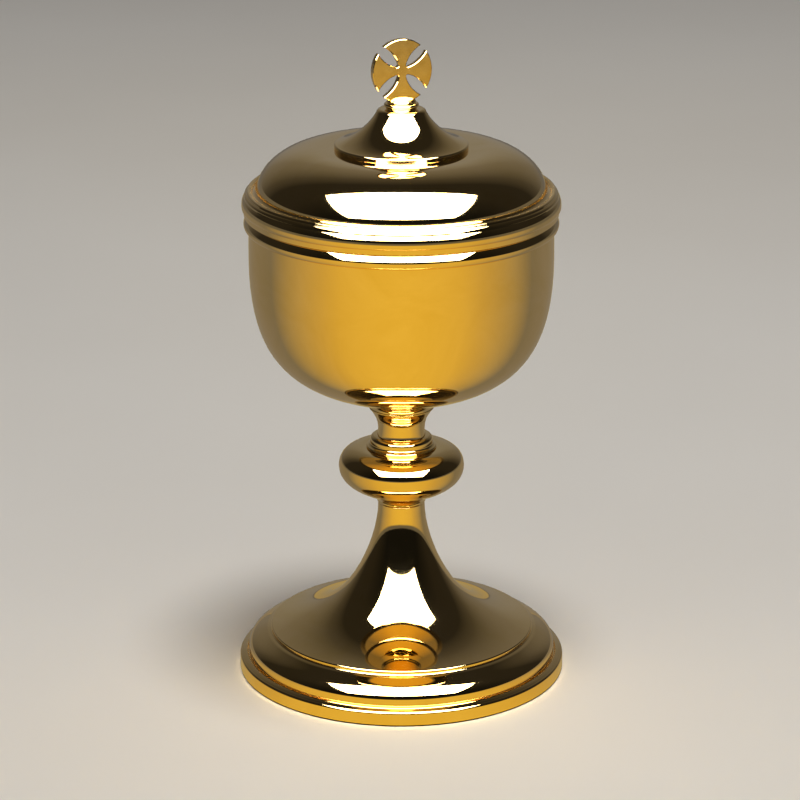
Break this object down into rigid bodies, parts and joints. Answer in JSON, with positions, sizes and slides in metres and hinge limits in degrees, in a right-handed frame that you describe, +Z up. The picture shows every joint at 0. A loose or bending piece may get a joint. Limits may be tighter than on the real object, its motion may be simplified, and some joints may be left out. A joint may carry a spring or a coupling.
{
  "type": "ciborium",
  "caption": "Covered altar cup on a knopped stem and round foot, with a loose domed lid crowned by a cross, for holding hosts.",
  "frame": {"origin": "centre of the foot, on the surface the vessel stands on", "axes": "+Z up along the stem's axis; the cross lies in the XZ plane and faces -Y"},
  "size_m": [0.12, 0.12, 0.2366],
  "materials": {
    "polished_gilt": "mirror-polished gold plate on brass",
    "satin_gilt": "satin gold plate with polished edges",
    "bare_brass": "turned, unplated",
    "steel_fixing": "plain drawn rod"
  },
  "bodies": {
    "vessel": {"foot_rim_band": "polished_gilt", "foot_torus_moulding": "polished_gilt", "foot_trumpet": "polished_gilt", "tie_rod": "steel_fixing", "clamp_washer": "bare_brass", "rod_nut": "bare_brass", "lower_knop_ring": "polished_gilt", "knop_lower_half": "polished_gilt", "knop_upper_half": "polished_gilt", "upper_knop_ring": "polished_gilt", "neck_tube": "polished_gilt", "cup_collar": "polished_gilt", "bowl_boss": "bare_brass", "bowl_shell": "polished_gilt", "bowl_rim_moulding": "polished_gilt"},
    "lid_carrier": {"lid_locating_ring": "polished_gilt"},
    "lid": {"lid_dome": "polished_gilt", "lid_rim_moulding": "polished_gilt", "finial_stud": "steel_fixing", "finial_washer": "bare_brass", "finial_nut": "bare_brass", "finial_cone": "polished_gilt", "finial_bead": "polished_gilt", "cross": "satin_gilt"}
  },
  "joints": [
    {"name": "lid_lift", "type": "slide", "parent": "vessel", "child": "lid_carrier", "axis": [0, 0, 1], "range_m": [0, 0.1]},
    {"name": "lid_turn", "type": "hinge", "parent": "lid_carrier", "child": "lid", "pos_m": [0, 0, 0.1733], "axis": [0, 0, 1], "continuous": true}
  ]
}
